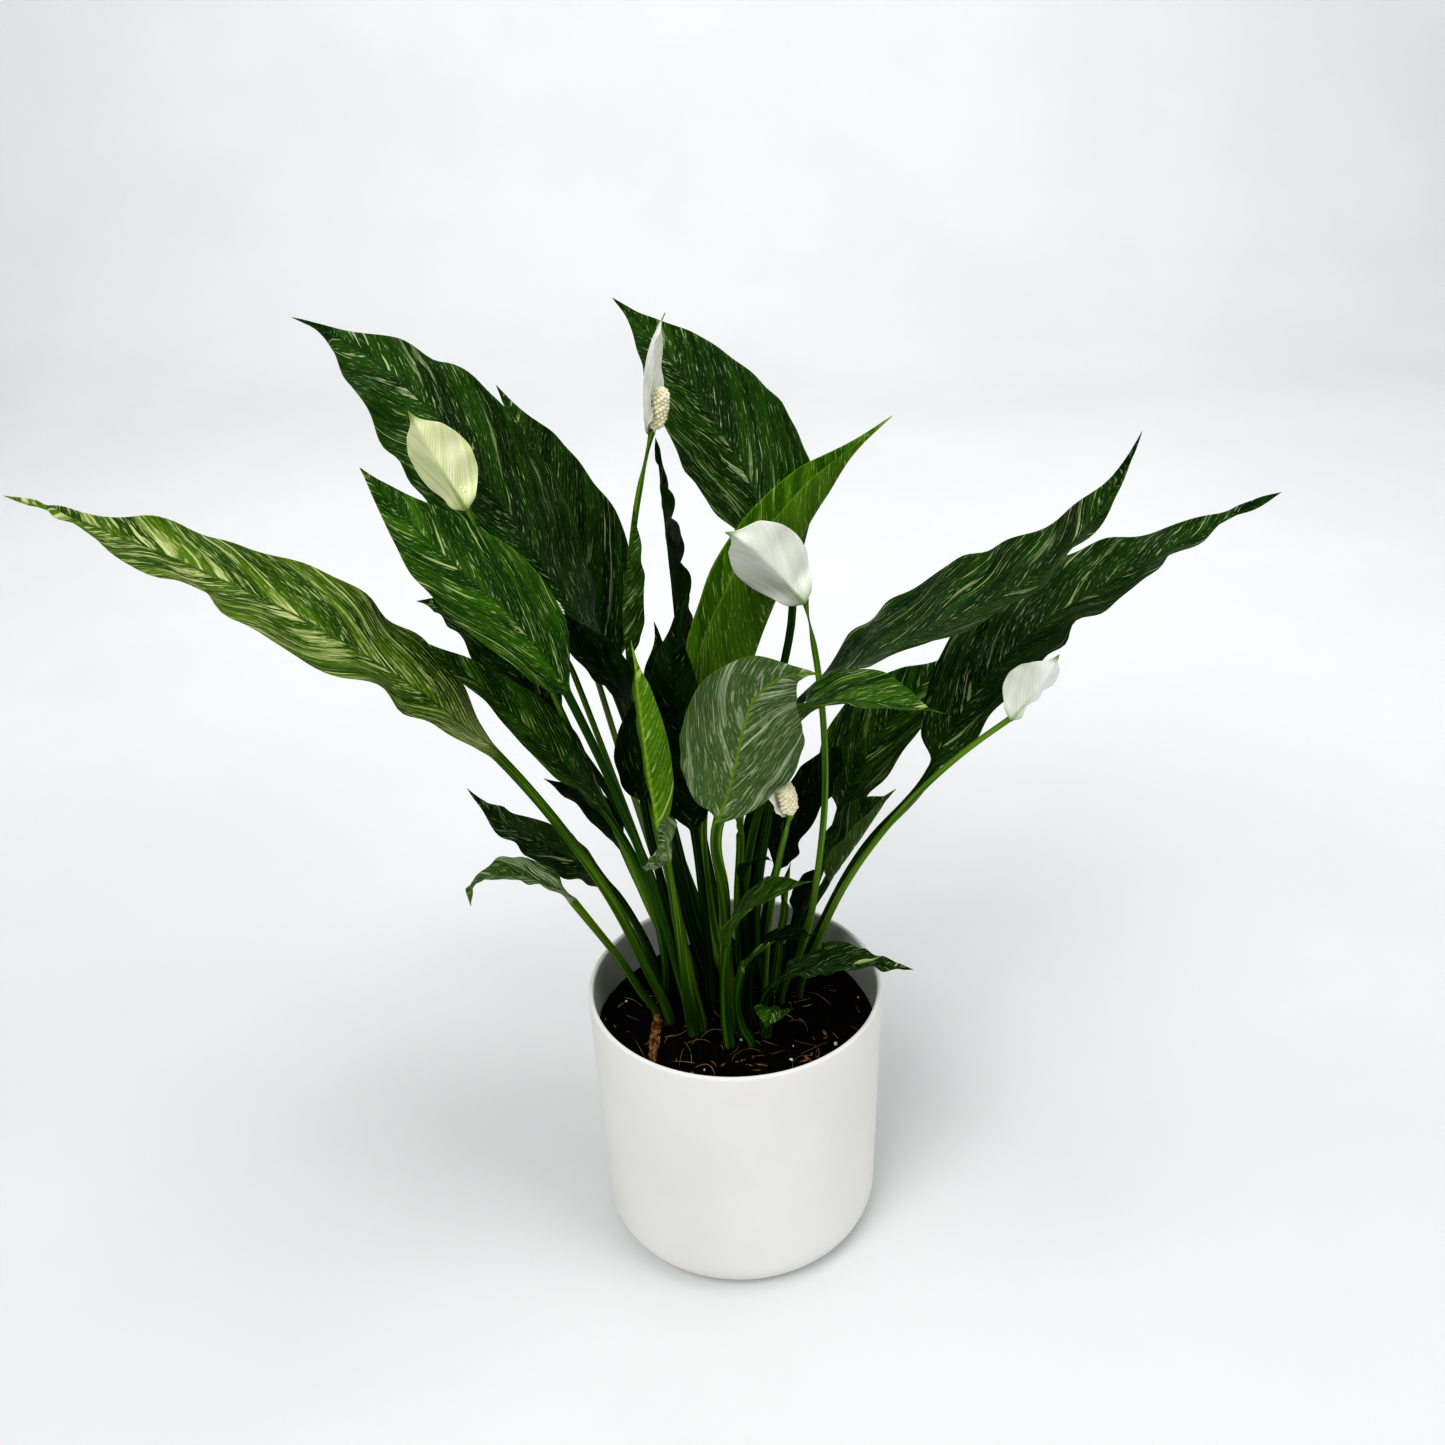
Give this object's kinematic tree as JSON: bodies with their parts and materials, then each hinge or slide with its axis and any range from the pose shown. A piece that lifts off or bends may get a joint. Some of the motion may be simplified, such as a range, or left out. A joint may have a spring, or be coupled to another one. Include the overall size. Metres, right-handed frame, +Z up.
{
  "type": "potted peace lily",
  "caption": "Variegated peace lily with spreading pointed leaves and white hooded flowers, growing in a plain round cover pot with a rounded foot.",
  "frame": {"origin": "centre of the pot's flat foot, on the surface the pot stands on", "axes": "+Z up, -Y towards the front of the plant, +X along the wider spread of the leaves"},
  "size_m": [0.5769, 0.2556, 0.4711],
  "materials": {
    "pot": "smooth matt off-white",
    "soil": null,
    "bark": "rough bark splinter",
    "leaf": null,
    "stalk": "smooth green flower stalk",
    "spathe": "soft white spathe with a green tip",
    "spadix": "knobbly cream spadix"
  },
  "bodies": {
    "root": {"pot": "pot", "soil": "soil", "bark_chip": "bark", "stalk_stub": "stalk", "leaf_far_left": "leaf", "leaf_back_left": "leaf", "leaf_behind_left": "leaf", "leaf_left_front": "leaf", "leaf_left_under": "leaf", "leaf_low_left_long": "leaf", "leaf_dark_mid": "leaf", "leaf_stalk_side": "leaf", "leaf_edge_on": "leaf", "leaf_dark_center": "leaf", "leaf_core": "leaf", "leaf_back_centre": "leaf", "leaf_right_tall": "leaf", "leaf_front_grey": "leaf", "leaf_front_narrow": "leaf", "leaf_small_edge": "leaf", "leaf_curled_low_left": "leaf", "leaf_low_left_dark": "leaf", "leaf_low_left_behind": "leaf", "leaf_right_upper": "leaf", "leaf_right_lower": "leaf", "leaf_right_short": "leaf", "leaf_right_back": "leaf", "leaf_right_low": "leaf", "leaf_dark_right": "leaf", "leaf_dark_strap": "leaf", "leaf_front_small": "leaf", "leaf_front_tiny": "leaf", "leaf_front_long": "leaf", "leaf_heart": "leaf", "leaf_front_inner": "leaf", "leaf_spike": "leaf", "leaf_right_rim": "leaf", "leaf_mid_narrow": "leaf", "leaf_mid_curled": "leaf", "flower_cream_left_stalk": "stalk", "flower_cream_left_spathe": "spathe", "flower_cream_left_spadix": "spadix", "flower_top_stalk": "stalk", "flower_top_spathe": "spathe", "flower_top_spadix": "spadix", "flower_large_white_stalk": "stalk", "flower_large_white_spathe": "spathe", "flower_large_white_spadix": "spadix", "flower_right_stalk": "stalk", "flower_right_spathe": "spathe", "flower_right_spadix": "spadix", "flower_small_front_stalk": "stalk", "flower_small_front_spathe": "spathe", "flower_small_front_spadix": "spadix", "flower_hidden_left_stalk": "stalk", "flower_hidden_left_spathe": "spathe", "flower_hidden_left_spadix": "spadix"}
  },
  "joints": []
}
